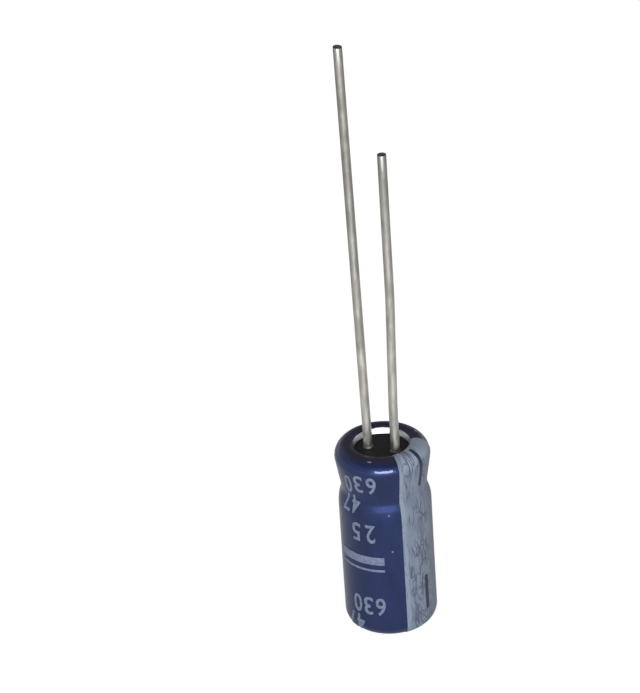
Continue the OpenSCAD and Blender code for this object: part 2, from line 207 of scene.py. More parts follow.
class Outline:
    """The sleeve's outer outline, from the edge of its lip under the base to the can's curled edge.

    A place on it is given by the length along it, and has a radius, a height and an outward normal.
    """

    def __init__(self, case):
        self.cover = case.sleeve_thickness + case.sleeve_gap
        self.radius = case.diameter / 2
        can_radius = self.radius - self.cover
        can_top = case.height - self.cover
        rim_centre = Vector((can_radius + case.rim_bulge - case.rim_round + self.cover,
                             can_top - case.rim_round + self.cover))
        curl_centre = Vector((rim_centre.x, can_top - case.curl_round + self.cover))
        bead_centre = Vector((can_radius - case.bead_depth + case.bead_hollow, case.height - case.bead_drop))
        both_radii = (case.bead_shoulder ** 2 + case.bead_depth ** 2) / (2 * case.bead_depth)
        shoulder_radius = both_radii - case.bead_hollow
        shoulder_centre = Vector((can_radius - shoulder_radius, bead_centre.y - case.bead_shoulder))
        shoulder_turn = math.degrees(math.asin(case.bead_shoulder / both_radii))
        rise = rim_centre - bead_centre
        reach = (case.rim_round - self.cover + case.bead_hollow) / rise.length
        rim_turn = math.degrees(math.atan2(-rise.y, -rise.x) + math.acos(reach))
        corner_centre = Vector((self.radius - case.base_round, case.base_round))
        self.mouth = curl_centre.x - case.curl_round + self.cover
        self.stretches = []
        self.total = 0.0
        self.add_arc(corner_centre, case.base_round, -90.0, 0.0)
        self.add_arc(shoulder_centre, shoulder_radius + self.cover, 0.0, shoulder_turn)
        self.add_arc(bead_centre, self.cover - case.bead_hollow, shoulder_turn, rim_turn)
        self.add_arc(rim_centre, case.rim_round, rim_turn, 90.0)
        self.curl_start = self.total
        self.add_arc(curl_centre, case.curl_round, 90.0, 180.0)
        self.curl_round = case.curl_round

    def add_arc(self, centre, radius, first, last):
        """Adds an arc about a centre, and a straight stretch up to it where one is needed."""
        start = centre + radius * heading(first)
        if self.stretches:
            before = self.stretches[-1]
            end = before["centre"] + before["radius"] * heading(before["last"])
            span = (start - end).length
            if span > 1e-4 * MM:
                self.add(span, centre=end, radius=0.0, first=first, last=first, run=start - end)
        self.add(abs(radius * math.radians(last - first)), centre=centre, radius=radius,
                 first=first, last=last, run=Vector((0, 0)))

    def add(self, span, **stretch):
        """Adds one stretch of the given length."""
        self.stretches.append({"from": self.total, "span": span, **stretch})
        self.total += span

    def at(self, along, lift=0.0):
        """The radius, height and normal at a length along the outline, lifted off it by so much."""
        stretch = next((s for s in self.stretches if along <= s["from"] + s["span"]), self.stretches[-1])
        share = (along - stretch["from"]) / stretch["span"]
        normal = heading(stretch["first"] + (stretch["last"] - stretch["first"]) * share)
        point = stretch["centre"] + stretch["radius"] * normal + stretch["run"] * share + lift * normal
        return point, normal

    def steps(self, first, last, spacing):
        """Lengths along the outline from first to last, which take in every joint between stretches."""
        found = []
        for stretch in self.stretches:
            low = max(first, stretch["from"])
            high = min(last, stretch["from"] + stretch["span"])
            if high <= low:
                continue
            count = max(2, math.ceil((high - low) / spacing))
            found += [low + (high - low) * i / count for i in range(count)]
        return found + [last]

    def line(self, first, last, lift, spacing):
        """Points of the outline lifted off by so much, from one length along it to another."""
        return [self.at(along, lift)[0] for along in self.steps(first, last, spacing)]

    def from_height(self, height):
        """The length along the outline at a height, up to the widest part of the rim."""
        low = 0.0
        high = self.curl_start
        for _ in range(50):
            middle = (low + high) / 2
            if self.at(middle)[0].y < height:
                low = middle
            else:
                high = middle
        return low

    def on_curl(self, turn):
        """The length along the outline at an angle round the curl."""
        return self.curl_start + self.curl_round * math.radians(turn - 90.0)


def heading(angle):
    """A unit vector at an angle in degrees."""
    return Vector((math.cos(math.radians(angle)), math.sin(math.radians(angle))))


def ripple(case, angle, height):
    """How far the shrunk film lies off its true outline, inwards as less than 0, at an angle and a height."""
    z = height / MM
    waves = math.sin(3 * angle + 0.7 * z) + 0.6 * math.sin(7 * angle - 1.9 * z + 1.0)
    waves += 0.5 * math.sin(13 * angle + 0.9 * z + 2.0)
    return case.ripple * (waves / 4.2 - 0.5)


def spin_outline(points, steps):
    """A closed outline of (radius, height) points, spun once round the Z axis."""
    shape = bmesh.new()
    ring = [shape.verts.new((point[0], 0, point[1])) for point in points]
    edges = [shape.edges.new(pair) for pair in zip(ring, ring[1:] + ring[:1])]
    bmesh.ops.spin(shape, geom=ring + edges, cent=(0, 0, 0), axis=(0, 0, 1), dvec=(0, 0, 0),
                   angle=math.tau, steps=steps, use_merge=True)
    bmesh.ops.remove_doubles(shape, verts=shape.verts, dist=1e-5 * MM)
    bmesh.ops.dissolve_degenerate(shape, edges=shape.edges, dist=1e-5 * MM)
    bmesh.ops.recalc_face_normals(shape, faces=shape.faces)
    return shape


def mesh_of(shape, name):
    """Turns a bmesh into a mesh."""
    mesh = bpy.data.meshes.new(name)
    shape.to_mesh(mesh)
    shape.free()
    return mesh


def add_object(name, data):
    """Puts a mesh, a lamp or another thing into the scene."""
    made = bpy.data.objects.new(name, data)
    bpy.context.scene.collection.objects.link(made)
    return made


def piece(name, shape, finishes):
    """Turns a bmesh into an object that rides on the body and has one finish or more."""
    mesh = mesh_of(shape, name)
    mesh.shade_smooth()
    mesh.set_sharp_from_angle(angle=math.radians(SHARP_FROM))
    for material in finishes:
        mesh.materials.append(material)
    made = add_object(name, mesh)
    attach(made, ROOT)
    return made


def shift(shape, offset):
    """Moves a whole shape."""
    bmesh.ops.translate(shape, vec=offset, verts=shape.verts)


def resize(shape, factors):
    """Scales a whole shape about the origin."""
    bmesh.ops.scale(shape, vec=factors, verts=shape.verts)


def everything(shape):
    """All vertices, edges and faces of a shape."""
    return shape.verts[:] + shape.edges[:] + shape.faces[:]


def cut_across(shape, axis, place, merge):
    """Cuts a flat shape across at a place on one axis, except where it is already cut within so much."""
    normal = Vector((0, 0, 0))
    normal[axis] = 1
    bmesh.ops.bisect_plane(shape, geom=everything(shape), dist=merge,
                           plane_co=normal * place, plane_no=normal)


def refine(shape, spacing, axis, low, high):
    """Cuts a flat shape across at even steps along one axis, so that it can be bent."""
    count = math.ceil((high - low) / spacing)
    for i in range(1, count):
        cut_across(shape, axis, low + (high - low) * i / count, 1e-6 * MM)


def thicken(shape, thickness):
    """Gives a flat shape its thickness, upwards from the plane z = 0."""
    bmesh.ops.solidify(shape, geom=shape.faces[:], thickness=thickness)
    lowest = min(vert.co.z for vert in shape.verts)
    shift(shape, (0, 0, -lowest))


def lay_on(shape, outline, case, ink, angle, along):
    """Bends a flat print round the sleeve, with its origin at an angle and a length along the outline."""
    for vert in shape.verts:
        place, normal = outline.at(along + vert.co.y, ink.gap + vert.co.z)
        turn = math.radians(angle) + vert.co.x / outline.radius
        radius = place.x + ripple(case, turn, place.y) * abs(normal.x)
        vert.co = (radius * math.cos(turn), radius * math.sin(turn), place.y)
    bmesh.ops.recalc_face_normals(shape, faces=shape.faces)


def feed(tree, socket, value):
    """Links a node's output to an input, or sets the input to a value."""
    if isinstance(value, bpy.types.NodeSocket):
        tree.links.new(value, socket)
    else:
        socket.default_value = value


def add_node(tree, kind, inputs=None, **settings):
    """Adds a shader node with settings, and inputs that are values or other nodes' outputs."""
    made = tree.nodes.new("ShaderNode" + kind)
    for name, value in settings.items():
        setattr(made, name, value)
    for name, value in (inputs or {}).items():
        feed(tree, made.inputs[name], value)
    return made


def reckon(tree, operation, first, second):
    """The result of one sum on two numbers."""
    return add_node(tree, "Math", {0: first, 1: second}, operation=operation).outputs[0]


def fade(tree, value, first, last, low, high):
    """Maps a value from between first and last to between low and high."""
    return add_node(tree, "MapRange", {"Value": value, "From Min": first, "From Max": last,
                                       "To Min": low, "To Max": high}).outputs["Result"]


class Finish:
    """A new material and the nodes of its pattern, which reads Object coordinates in millimetres."""

    def __init__(self, name):
        self.material = bpy.data.materials.new(name)
        self.material.use_nodes = True
        self.tree = self.material.node_tree
        self.shader = self.tree.nodes["Principled BSDF"]
        self.place = self.node("TexCoord").outputs["Object"]

    def node(self, kind, inputs=None, **settings):
        """Adds a node to this material."""
        return add_node(self.tree, kind, inputs, **settings)

    def scaled(self, scale):
        """Object coordinates in millimetres, times a scale for each axis."""
        factors = [factor / MM for factor in scale]
        return self.node("Mapping", {"Vector": self.place, "Scale": factors}).outputs["Vector"]

    def along(self, axis, first, last):
        """Runs from 0 to 1 between two places on an axis."""
        axes = self.node("SeparateXYZ", {"Vector": self.place})
        return self.spread(axes.outputs[axis], 0.0, 1.0, first, last)

    def noise(self, scale, detail=3.0, roughness=0.5):
        """A noise whose grain is set by a scale for each axis."""
        made = self.node("TexNoise", {"Vector": self.scaled(scale), "Scale": 1.0,
                                      "Detail": detail, "Roughness": roughness})
        return made.outputs["Fac"]

    def spread(self, value, low, high, first=0.35, last=0.65):
        """Maps a noise from its usual reach to the one between low and high."""
        return fade(self.tree, value, first, last, low, high)

    def blend(self, factor, first, second):
        """A mix of two colours."""
        return self.node("Mix", {0: factor, 6: first, 7: second}, data_type="RGBA").outputs[2]

    def shaded(self, noise, colour_value, dark, light):
        """A colour that a noise darkens and lightens by two factors."""
        return self.blend(self.spread(noise, 0.0, 1.0), rgba(colour_value, dark), rgba(colour_value, light))

    def math(self, operation, first, second=0.0):
        """The result of one sum in this material."""
        return reckon(self.tree, operation, first, second)

    def creases(self, flat, slant, spacing):
        """Long thin creases on flat coordinates, turned by a slant in radians, so many to the millimetre."""
        turned = self.node("Mapping", {"Vector": flat, "Rotation": (0, 0, slant),
                                       "Scale": (spacing, spacing * 0.3, 1.0)}).outputs["Vector"]
        noise = self.node("TexNoise", {"Vector": turned, "Scale": 1.0, "Detail": 0.6})
        off = self.math("ABSOLUTE", self.math("SUBTRACT", noise.outputs["Fac"], 0.5))
        return self.spread(off, 1.0, 0.0, 0.006, 0.04)

    def bump(self, *layers):
        """Adds bumps on top of each other, each a height and its depth in millimetres."""
        normal = None
        for height, depth in layers:
            inputs = {"Height": height, "Strength": 1.0, "Distance": depth * MM}
            if normal:
                inputs["Normal"] = normal
            normal = self.node("Bump", inputs).outputs["Normal"]
        self.tree.links.new(normal, self.shader.inputs["Normal"])
        self.tree.links.new(normal, self.shader.inputs["Coat Normal"])

    def set(self, **values):
        """Sets or links the shader's own sockets, whose names are written with underscores."""
        for name, value in values.items():
            feed(self.tree, self.shader.inputs[name.replace("_", " ")], value)


def rgba(colour_value, factor=1.0):
    """A colour with its alpha, lightened or darkened by a factor."""
    return (*(min(1.0, channel * factor) for channel in colour_value), 1.0)


def grained(name, scale, dark, light, roughness, depth, detail=4.0, wear=0.5, **settings):
    """A finish with one noise, which shades its colour, its roughness and its surface."""
    finish = Finish(name)
    grain = finish.noise(scale, detail, wear)
    base = finish.blend(finish.spread(grain, 0.0, 1.0), dark, light)
    finish.set(Base_Color=base, Roughness=finish.spread(grain, *roughness), **settings)
    finish.bump((grain, depth))
    return finish.material


def sleeve_film(colours, case):
    """Blue shrink film, see-through enough for the metal under it to show, with a painted grey reflection
    over the rim's top.
    """
    finish = Finish("Blue Shrink Film")
    cloud = finish.noise((0.9, 0.9, 0.35))
    fine = finish.noise((9.0, 9.0, 4.0), detail=4.0)
    blue = finish.shaded(cloud, colours.sleeve, 0.86, 1.18)
    # Painted reflection: the rim's top is coloured grey, as if it mirrored the room overhead
    reflection_mask = finish.along("Z", case.height - 0.2 * MM, case.height - 0.04 * MM)
    base = finish.blend(reflection_mask, blue, rgba(colours.painted_rim_reflection))
    lines = finish.noise((7.0, 7.0, 0.25), detail=2.0)
    finish.set(Base_Color=base, Roughness=finish.spread(fine, 0.34, 0.42), IOR=1.5, Specular_IOR_Level=0.0)
    coat = finish.along("Z", case.height - 0.03 * MM, case.height - 0.16 * MM)
    finish.set(Metallic=0.6, Coat_Weight=coat, Coat_Roughness=0.07, Coat_IOR=1.5)
    finish.bump((lines, 0.012), (fine, 0.003))
    return finish.material


def stripe_ink(colours, case, ink):
    """Pale grey ink, creased at a slant, thick along its first edge, with painted light on the rim and
    painted shade along its last.
    """
    finish = Finish("Stripe Ink")

    def past_edge(angle):
        """An angle past the stripe's first edge, in radians."""
        return math.radians(ink.stripe_from + angle)

    axes = finish.node("SeparateXYZ", {"Vector": finish.place})
    turn = finish.math("ARCTAN2", axes.outputs["Y"], axes.outputs["X"])
    edge = finish.spread(turn, 1.0, 0.0, past_edge(4.5), past_edge(8.5))
    # Painted shade: thin runs from 0 to 1 towards the stripe's last edge and darkens the ink there
    thin = finish.spread(turn, 0.0, 1.0, past_edge(44.0), past_edge(72.0))
    # Painted light: the ink is made paler on the rim, where the rim faces the light
    rim = finish.along("Z", case.height - 0.75 * MM, case.height - 0.3 * MM)
    film_radius = 2.6
    round_film = finish.math("MULTIPLY", turn, film_radius)
    up_film = finish.math("DIVIDE", axes.outputs["Z"], MM)
    flat = finish.node("CombineXYZ", {"X": round_film, "Y": up_film}).outputs["Vector"]
    creases = finish.math("MAXIMUM", finish.creases(flat, -0.5, 2.5), finish.creases(flat, 0.75, 3.1))
    shrunk = finish.spread(turn, 1.0, 0.0, past_edge(34.0), past_edge(58.0))
    patches = finish.spread(finish.noise((1.3, 1.3, 0.7)), 0.1, 1.0, 0.42, 0.54)
    creases = finish.math("MULTIPLY", creases, finish.math("MULTIPLY", shrunk, patches))
    cloud = finish.noise((1.6, 1.6, 0.9), detail=4.0)
    inked = finish.blend(finish.spread(cloud, 0.0, 1.0), rgba(colours.mottle_and_shade_ink), rgba(colours.stripe, 1.12))
    shaded_far_edge = finish.blend(thin, inked, rgba(colours.mottle_and_shade_ink, 0.74))
    painted_rim_light = finish.blend(rim, shaded_far_edge, rgba(colours.stripe, 1.62))
    scored = finish.blend(finish.math("MULTIPLY", creases, 0.62), painted_rim_light, rgba(colours.crease))
    base = finish.blend(edge, scored, rgba(colours.stripe, 1.28))
    finish.set(Base_Color=base, Roughness=finish.spread(cloud, 0.26, 0.4), IOR=1.46, Specular_IOR_Level=0.3)
    finish.bump((creases, 0.03), (finish.noise((12.0, 12.0, 9.0)), 0.004))
    return finish.material


def print_ink(name, ink, roughness):
    """Printing ink that lies a little unevenly on the film."""
    reach = (roughness - 0.06, roughness + 0.08)
    return grained(name, (6.0, 6.0, 6.0), rgba(ink, 0.8), rgba(ink, 1.15), reach, 0.004, IOR=1.46)


def bare_aluminium(colours):
    """Drawn aluminium, with fine rings from the drawing die and a soft bloom."""
    finish = Finish("Drawn Aluminium")
    rings = finish.noise((0.5, 0.5, 26.0), detail=2.0)
    bloom = finish.noise((1.4, 1.4, 1.4), detail=4.0)
    base = finish.shaded(bloom, colours.aluminium, 0.94, 1.04)
    finish.set(Base_Color=base, Metallic=1.0, Roughness=finish.spread(bloom, 0.3, 0.42))
    finish.bump((rings, 0.004))
    return finish.material


def seal_rubber(colours):
    """Black moulded rubber with a fine satin grain."""
    finish = Finish("Seal Rubber")
    grain = finish.noise((30.0, 30.0, 30.0), detail=4.0)
    cloud = finish.noise((1.8, 1.8, 1.8), detail=3.0)
    base = finish.shaded(cloud, colours.rubber, 0.8, 1.3)
    finish.set(Base_Color=base, Roughness=finish.spread(cloud, 0.5, 0.64), IOR=1.42)
    finish.bump((grain, 0.004), (cloud, 0.02))
    return finish.material


def tinned_wire(colours):
    """Tin over drawn wire: soft lines along it and a cloudy skin, with a painted reflection that is brighter
    at the foot and darker higher up.
    """
    finish = Finish("Tinned Wire")
    lines = finish.noise((14.0, 14.0, 0.3), detail=3.0)
    skin = finish.noise((3.0, 3.0, 0.9), detail=5.0)
    # Painted reflection: the wire is brighter near its foot, where it mirrors the lit floor, and darker
    # higher up
    painted_bright_foot = finish.shaded(skin, colours.wire, 1.0, 1.32)
    painted_dim_top = finish.shaded(skin, colours.wire, 0.62, 0.82)
    base = finish.blend(finish.along("Z", 12.0 * MM, 27.0 * MM), painted_bright_foot, painted_dim_top)
    finish.set(Base_Color=base, Metallic=1.0, Roughness=finish.spread(skin, 0.38, 0.5))
    finish.bump((lines, 0.006), (skin, 0.008))
    return finish.material


def cut_metal(cut):
    """The dark rough face that the cutter leaves at a wire's end."""
    return grained("Cut Wire End", (18.0, 5.0, 18.0), rgba(cut, 0.75), rgba(cut, 1.3),
                   (0.42, 0.6), 0.012, Metallic=0.9)


def weld_metal(aluminium):
    """Aluminium that has melted and set round the wire."""
    return grained("Weld Aluminium", (7.0, 7.0, 7.0), rgba(aluminium, 0.28), rgba(aluminium, 0.5),
                   (0.42, 0.6), 0.015, Metallic=1.0)


def foil_metal(name, foil, grain, roughness):
    """Aluminium foil with a fine etched or rolled grain."""
    reach = (roughness - 0.06, roughness + 0.06)
    return grained(name, (grain, grain, grain / 3), rgba(foil, 0.88), rgba(foil, 1.1), reach, 0.003,
                   Metallic=1.0)


def soaked_paper():
    """Thin kraft paper with its fibres, dark with electrolyte."""
    return grained("Soaked Paper", (5.0, 5.0, 16.0), (0.40, 0.27, 0.13, 1), (0.56, 0.41, 0.23, 1),
                   (0.5, 0.7), 0.006, detail=6.0, wear=0.65)


def closing_tape():
    """Brown film tape with a crinkled glossy back."""
    return grained("Closing Tape", (4.0, 4.0, 1.2), (0.26, 0.12, 0.025, 1), (0.40, 0.20, 0.05, 1),
                   (0.2, 0.36), 0.008, IOR=1.48)


def repaint(node, material):
    """Gives a CAD node that stays its finish."""
    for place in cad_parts[node].material_slots:
        place.material = material


class CAPACITOR_OT_sleeve(bpy.types.Operator):
    """Make the shrunk plastic sleeve"""

    bl_idname = "capacitor.sleeve"
    bl_label = "Make Sleeve"

    def execute(self, context):
        case = context.scene.capacitor_case
        outline = Outline(case)
        end = outline.on_curl(case.sleeve_end)
        edge = 0.015 * MM
        thick = case.sleeve_thickness
        outer = outline.line(0.0, end - edge, 0.0, FILM_STEP)
        inner = outline.line(0.0, end - edge, -thick, LINING_STEP)
        lip = outer[0].x - case.lip_width
        cut_edge = [outline.at(end, -edge)[0], outline.at(end, edge - thick)[0]]
        rounded_lip = [(lip, thick - edge), (lip, edge), (lip + edge, 0)]
        ring = rounded_lip + outer + cut_edge + inner[::-1] + [(lip + edge, thick)]
        shape = spin_outline(ring, SLEEVE_SIDES)
        middle = -thick / 2
        for vert in shape.verts:
            radius = math.hypot(vert.co.x, vert.co.y)
            if vert.co.z < case.base_round * 0.4 or vert.co.z > case.height - case.rim_round:
                continue
            skin = outline.at(outline.from_height(vert.co.z), middle)[0].x
            if radius > skin:
                pull = ripple(case, math.atan2(vert.co.y, vert.co.x), vert.co.z) / radius
                vert.co.x += vert.co.x * pull
                vert.co.y += vert.co.y * pull
        film = sleeve_film(context.scene.capacitor_colours, case)
        made = piece("sleeve_film", shape, [film])
        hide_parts("sleeve")
        return {"FINISHED"}


class CAPACITOR_OT_can(bpy.types.Operator):
    """Make the drawn aluminium can with its bead and curled edge"""

    bl_idname = "capacitor.can"
    bl_label = "Make Can"

    def execute(self, context):
        case = context.scene.capacitor_case
        outline = Outline(case)
        inside = outline.cover + case.can_wall
        edge = 0.04 * MM
        lip_edge = 0.02 * MM
        rubber_gap = 0.004 * MM
        edge_height = case.height - case.curl_reach
        face = case.height - case.seal_recess + rubber_gap
        slope_start = outline.on_curl(180.0 - case.lip_slope)
        outer = outline.line(0.0, slope_start, -outline.cover, CAN_STEP)
        inner = outline.line(0.0, outline.total, -inside, CAN_STEP)
        drop = outer[-1].y - face
        foot = outer[-1].x - drop * math.tan(math.radians(case.lip_slope))
        mouth = outline.mouth
        back = mouth + case.can_wall
        curled_edge = [
            (foot, face + lip_edge), (foot + lip_edge / 2, face), (mouth, face), (mouth, edge_height + edge),
            (mouth + edge, edge_height), (back - edge, edge_height), (back, edge_height + edge),
        ]
        ring = [(0, outline.cover)] + outer + curled_edge + inner[::-1] + [(0, inside)]
        metal = bare_aluminium(context.scene.capacitor_colours)
        made = piece("can_shell", spin_outline(ring, CAN_SIDES), [metal])
        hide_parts("can")
        return {"FINISHED"}


class CAPACITOR_OT_seal(bpy.types.Operator):
    """Give the rubber seal its finish"""

    bl_idname = "capacitor.seal"
    bl_label = "Finish Seal"

    def execute(self, context):
        repaint("bung", seal_rubber(context.scene.capacitor_colours))
        return {"FINISHED"}


class CAPACITOR_OT_leads(bpy.types.Operator):
    """Make the two tinned lead wires with their cut ends"""

    bl_idname = "capacitor.leads"
    bl_label = "Make Leads"

    def execute(self, context):
        leads = context.scene.capacitor_leads
        case = context.scene.capacitor_case
        colours = context.scene.capacitor_colours
        finishes = (tinned_wire(colours), cut_metal(colours.cut))
        foot = case.height - case.seal_recess - leads.weld_depth
        anode_bend = leads.bend_radius * math.radians(leads.anode_lean)
        cathode_bend = leads.bend_radius * math.radians(leads.cathode_lean)
        anode_last = leads.anode_length - leads.anode_rise - anode_bend
        cathode_last = leads.cathode_length - leads.cathode_rise - leads.cathode_middle - 2 * cathode_bend
        wires = (
            ("anode", -leads.pitch / 2, leads.shear_slant,
             ((leads.weld_depth + leads.anode_rise, -leads.anode_lean), (anode_last, 0.0))),
            ("cathode", leads.pitch / 2, 0.0,
             ((leads.weld_depth + leads.cathode_rise, leads.cathode_lean),
              (leads.cathode_middle, -leads.cathode_lean), (cathode_last, 0.0))),
        )
        for name, side, slant, legs in wires:
            shape = self.wire(leads, Vector((side, 0, foot)), legs, slant)
            made = piece(name + "_wire", shape, finishes)
            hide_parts(name + "_lead")
        return {"FINISHED"}

    def wire(self, leads, foot, legs, slant):
        """Draws one wire leg by leg: each leg is a straight length and the turn after it."""
        shape = bmesh.new()
        bmesh.ops.create_circle(shape, cap_ends=True, segments=WIRE_SIDES, radius=leads.diameter / 2,
                                matrix=Matrix.Translation(foot))
        loop = shape.edges[:]
        centre = foot.copy()
        lean = 0.0
        longest_step = 1.5 * MM
        bend_steps = 6
        for straight, turn in legs:
            way = Vector((math.sin(lean), 0, math.cos(lean)))
            count = math.ceil(straight / longest_step)
            for _ in range(count):
                loop = self.extrude(shape, loop, way * straight / count)
            centre += way * straight
            if turn:
                side = Vector((math.cos(lean), 0, -math.sin(lean))) * math.copysign(1, turn)
                pivot = centre + side * leads.bend_radius
                spin = Matrix.Rotation(math.radians(turn) / bend_steps, 3, "Y")
                for _ in range(bend_steps):
                    loop = self.extrude(shape, loop, Vector((0, 0, 0)))
                    ends = list({vert for edge in loop for vert in edge.verts})
                    bmesh.ops.rotate(shape, cent=pivot, matrix=spin, verts=ends)
                    centre = pivot + spin @ (centre - pivot)
                lean += math.radians(turn)
        way = Vector((math.sin(lean), 0, math.cos(lean)))
        cut = Quaternion((0, 1, 0), math.radians(slant)) @ way
        place = centre - way * (leads.diameter / 2 * math.tan(math.radians(slant)) + 0.001 * MM)
        bmesh.ops.bisect_plane(shape, geom=everything(shape), dist=1e-6 * MM, plane_co=place, plane_no=cut,
                               clear_outer=True)
        rim = [edge for edge in shape.edges if edge.is_boundary]
        end = bmesh.ops.edgeloop_fill(shape, edges=rim)["faces"]
        end[0].material_index = 1
        bmesh.ops.bevel(shape, geom=rim, offset=0.018 * MM, segments=2, profile=0.5, affect="EDGES",
                        material=-1)
        bmesh.ops.recalc_face_normals(shape, faces=shape.faces)
        return shape

    def extrude(self, shape, loop, move):
        """Draws the open end of the wire on, and returns its new end."""
        made = bmesh.ops.extrude_edge_only(shape, edges=loop)["geom"]
        ends = {part for part in made if isinstance(part, bmesh.types.BMVert)}
        bmesh.ops.translate(shape, vec=move, verts=list(ends))
        return [part for part in made if isinstance(part, bmesh.types.BMEdge) and set(part.verts) <= ends]


class CAPACITOR_OT_welds(bpy.types.Operator):
    """Make the weld round each wire's foot and finish the tabs"""

    bl_idname = "capacitor.welds"
    bl_label = "Make Welds"

    def execute(self, context):
        case = context.scene.capacitor_case
        leads = context.scene.capacitor_leads
        metal = weld_metal(context.scene.capacitor_colours.aluminium)
        face = case.height - case.seal_recess
        bore = leads.diameter / 2 + 0.002 * MM
        foot = leads.weld_diameter / 2 - 0.005 * MM
        low = face - 0.05 * MM
        crown = leads.weld_crown + 0.02 * MM
        # A ring sunk into the rubber, that rounds off towards the wire above it
        ring = ((bore, low), (foot, low), (foot, face + 0.02 * MM), (foot - 0.012 * MM, face + crown * 0.6),
                (foot - 0.03 * MM, face + crown * 0.9), (bore, face + crown))
        for name, side in (("anode", -leads.pitch / 2), ("cathode", leads.pitch / 2)):
            repaint(name + "_tab", metal)
            shape = spin_outline(ring, WELD_SIDES)
            shift(shape, (side, 0, 0))
            piece(name + "_weld", shape, [metal])
        return {"FINISHED"}


class CAPACITOR_OT_winding(bpy.types.Operator):
    """Finish the foils, papers and tape inside the can"""

    bl_idname = "capacitor.winding"
    bl_label = "Finish Winding"

    def execute(self, context):
        paper = soaked_paper()
        repaint("anode_foil", foil_metal("Etched Foil", (0.36, 0.37, 0.38), 24.0, 0.6))
        repaint("cathode_foil", foil_metal("Plain Foil", (0.62, 0.63, 0.64), 12.0, 0.34))
        repaint("inner_paper", paper)
        repaint("outer_paper", paper)
        repaint("winding_tape", closing_tape())
        return {"FINISHED"}


class CAPACITOR_OT_stripe(bpy.types.Operator):
    """Print the polarity stripe and its minus marks"""

    bl_idname = "capacitor.stripe"
    bl_label = "Print Stripe"

    def execute(self, context):
        case = context.scene.capacitor_case
        ink = context.scene.capacitor_print
        colours = context.scene.capacitor_colours
        outline = Outline(case)
        foot = case.base_round * math.radians(90.0 - ink.foot)
        end = outline.on_curl(case.sleeve_end)
        centre = math.radians(ink.mark_angle) * outline.radius
        low_foot = outline.from_height(ink.mark_foot)
        marks = (
            (low_foot, low_foot + ink.mark_length),
            (outline.from_height(case.height - ink.rim_mark_drop), outline.curl_start - 0.05 * MM),
        )
        sides = (centre - ink.mark_width / 2, centre + ink.mark_width / 2)
        first = math.radians(ink.stripe_from) * outline.radius
        last = math.radians(ink.stripe_to) * outline.radius
        stripe = self.sheet(ink, first, last, foot, end, sides, marks, keep=False)
        lay_on(stripe, outline, case, ink, 0.0, 0.0)
        made = piece("stripe_print", stripe, [stripe_ink(colours, case, ink)])
        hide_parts("negative_stripe")
        dashes = self.sheet(ink, *sides, foot, end, sides, marks, keep=True)
        lay_on(dashes, outline, case, ink, 0.0, 0.0)
        made = piece("minus_print", dashes, [print_ink("Minus Ink", colours.mark, 0.34)])
        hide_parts("minus_marks")
        return {"FINISHED"}

    def sheet(self, ink, first, last, foot, end, sides, marks, keep):
        """A flat sheet of print with the marks kept or left out, cut fine enough to be bent."""
        shape = bmesh.new()
        bmesh.ops.create_grid(shape, x_segments=1, y_segments=1, size=0.5)
        resize(shape, (last - first, end - foot, 1))
        shift(shape, ((first + last) / 2, (foot + end) / 2, 0))
        refine(shape, PRINT_STEP, 0, first, last)
        refine(shape, PRINT_STEP, 1, foot, end)
        places = [(side, 0) for side in sides] + [(level, 1) for mark in marks for level in mark]
        for level, axis in places:
            cut_across(shape, axis, level, 1e-4 * MM)
        gone = []
        for face in shape.faces:
            spot = face.calc_center_median()
            inside = sides[0] < spot.x < sides[1] and any(low < spot.y < high for low, high in marks)
            if inside != keep:
                gone.append(face)
        bmesh.ops.delete(shape, geom=gone, context="FACES")
        thicken(shape, ink.thickness)
        return shape


